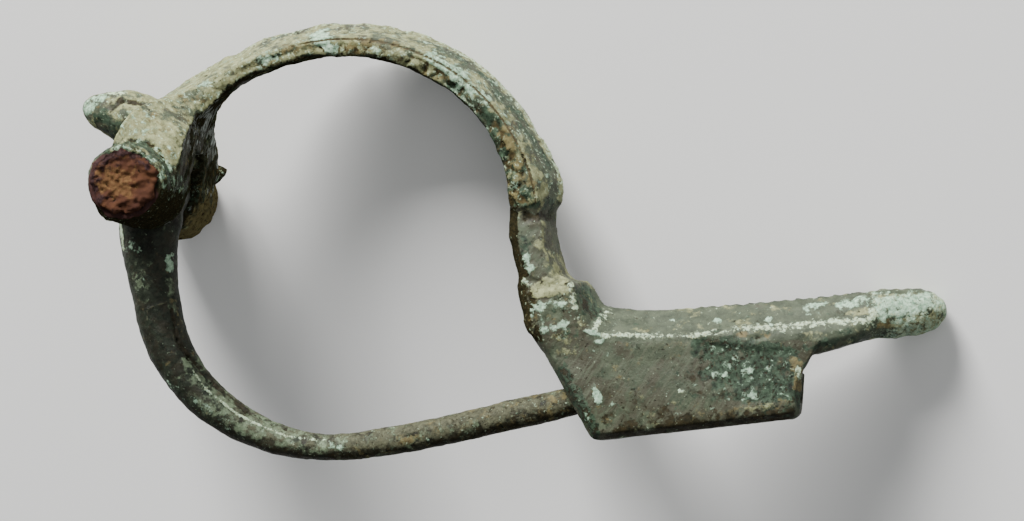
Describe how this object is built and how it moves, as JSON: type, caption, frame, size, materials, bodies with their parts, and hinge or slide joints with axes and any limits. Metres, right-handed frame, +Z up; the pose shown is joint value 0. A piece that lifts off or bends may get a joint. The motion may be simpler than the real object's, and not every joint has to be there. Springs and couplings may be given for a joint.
{
  "type": "fibula brooch",
  "caption": "Arched bow brooch of patinated bronze with a crossbar hinge on a rusted iron axle, a head knob, a long foot and a thick pin closed in a folded catch.",
  "frame": {"origin": "centre of the lying brooch's bounding box, on the surface that it lies on", "axes": "+Z up from the surface; +X along the length of the lying brooch, from the crossbar to the foot; the bow's crown leans towards +Y and the surface"},
  "size_m": [0.0558, 0.0254, 0.0209],
  "materials": {
    "bow_bronze": "cast bronze with a worn pale green and cream patina, dark green in the pits",
    "axle_iron": "iron rusted through, rough, ochre and purple-brown",
    "pin_bronze": "bronze with a dark brown-grey patina, worn to beige along the point"
  },
  "bodies": {
    "casting": {"bow": "bow_bronze", "hinge_axle": "axle_iron"},
    "pin": {"pin": "pin_bronze"}
  },
  "joints": [
    {"name": "pin_hinge", "type": "hinge", "parent": "casting", "child": "pin", "pos_m": [-0.02243, 0.00201, 0.01044], "axis": [0.1941, 0.4518, 0.8708], "range_deg": [-2.1, 1.8]}
  ]
}
